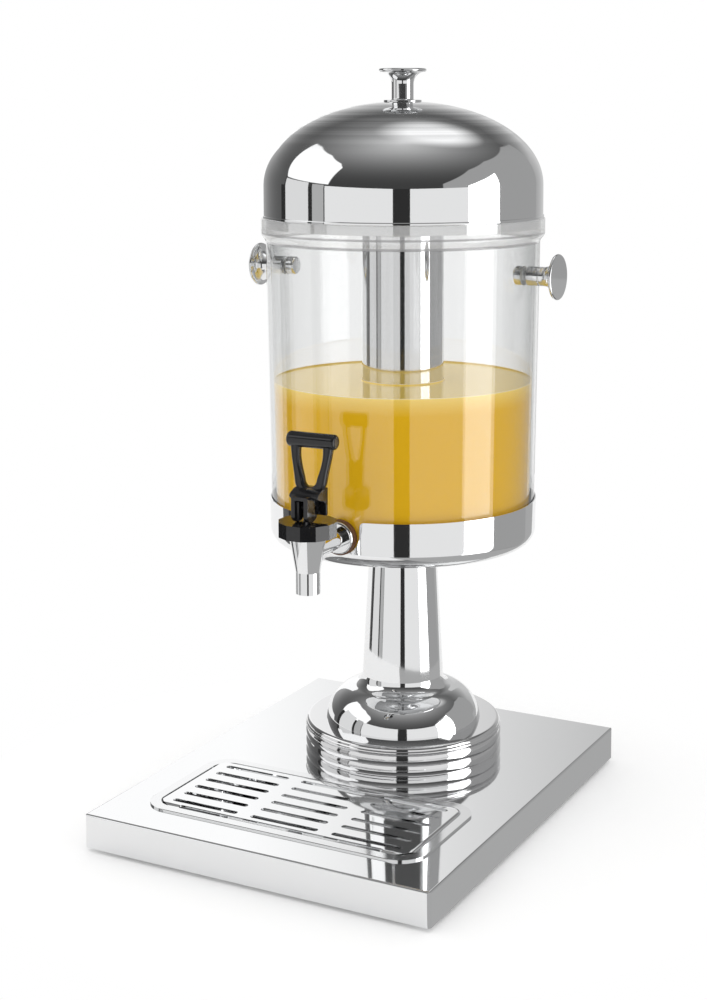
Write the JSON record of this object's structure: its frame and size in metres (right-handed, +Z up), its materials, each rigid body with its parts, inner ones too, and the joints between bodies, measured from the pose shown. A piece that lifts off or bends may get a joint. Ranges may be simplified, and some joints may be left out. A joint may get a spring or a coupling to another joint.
{
  "type": "juice dispenser",
  "caption": "Countertop juice dispenser: clear tank with ice tube, steel dome lid, side handles and lever tap, on a column over a base with a drip tray.",
  "frame": {"origin": "centre of the base's footprint on the table", "axes": "+Z up; -Y towards the tap and the drip tray; +X to the right seen from the tap's side"},
  "size_m": [0.28, 0.353, 0.5715],
  "materials": {
    "polished_steel": "mirror polished stainless sheet",
    "chrome": "bright plated, turned",
    "plain_steel": "plain machined",
    "clear_plastic": "clear and glossy",
    "juice": "cloudy orange juice",
    "black_plastic": "glossy black",
    "black_rubber": "matt black",
    "clear_rubber": "milky silicone",
    "brown_rubber": "matt brown"
  },
  "bodies": {
    "base": {"base_plate": "polished_steel", "base_stiffener": "plain_steel", "foot_front_left": "black_rubber", "foot_front_right": "black_rubber", "foot_back_left": "black_rubber", "foot_back_right": "black_rubber", "riser_drum": "polished_steel", "column": "polished_steel", "column_head": "plain_steel", "tie_rod": "plain_steel", "tie_rod_washer": "plain_steel", "tie_rod_nut": "plain_steel", "bottom_pan": "polished_steel", "pan_screws": "plain_steel", "tank_seat_ring": "clear_rubber"},
    "tank": {"tank": "clear_plastic", "juice": "juice", "ice_tube": "polished_steel", "ice_tube_gasket": "clear_rubber", "ice_tube_washer": "plain_steel", "ice_tube_nut": "plain_steel", "handle_left": "chrome", "handle_right": "chrome", "handle_gasket_left": "clear_rubber", "handle_gasket_right": "clear_rubber", "handle_nut_left": "chrome", "handle_nut_right": "chrome", "tap_body": "chrome", "tap_collar": "black_plastic", "tap_ring": "chrome", "tap_gasket": "brown_rubber", "tap_inner_washer": "clear_rubber", "tap_lock_nut": "plain_steel", "tap_spring": "plain_steel"},
    "stem": {"tap_stem": "plain_steel", "tap_seal": "black_rubber"},
    "lever": {"tap_lever": "black_plastic", "lever_pin": "plain_steel"},
    "lid": {"lid_dome": "polished_steel", "lid_skirt": "polished_steel", "lid_knob": "chrome", "lid_knob_screw": "plain_steel", "lid_knob_washer": "plain_steel"},
    "tray": {"drip_tray": "polished_steel"},
    "grate": {"drip_grate": "polished_steel"}
  },
  "joints": [
    {"name": "tank_lift", "type": "slide", "parent": "base", "child": "tank", "axis": [0, 0, 1], "range_m": [0, 0.12]},
    {"name": "lid_lift", "type": "slide", "parent": "tank", "child": "lid", "axis": [0, 0, 1], "range_m": [0, 0.15]},
    {"name": "stem_lift", "type": "slide", "parent": "tank", "child": "stem", "axis": [0, 0, 1], "range_m": [0, 0.0036], "deforming": ["tap_spring"]},
    {"name": "lever_pull", "type": "hinge", "parent": "stem", "child": "lever", "pos_m": [0, -0.0885, 0.253], "axis": [1, 0, 0], "range_deg": [0, 40], "stiffness_Nm_per_rad": 0.5, "springref_deg": -28.65},
    {"name": "tray_lift", "type": "slide", "parent": "base", "child": "tray", "axis": [0, 0, 1], "range_m": [0, 0.08]},
    {"name": "grate_lift", "type": "slide", "parent": "tray", "child": "grate", "axis": [0, 0, 1], "range_m": [0, 0.05]}
  ],
  "couplings": [
    {"joint": "stem_lift", "follows": "lever_pull", "m_per_rad": 0.005}
  ]
}
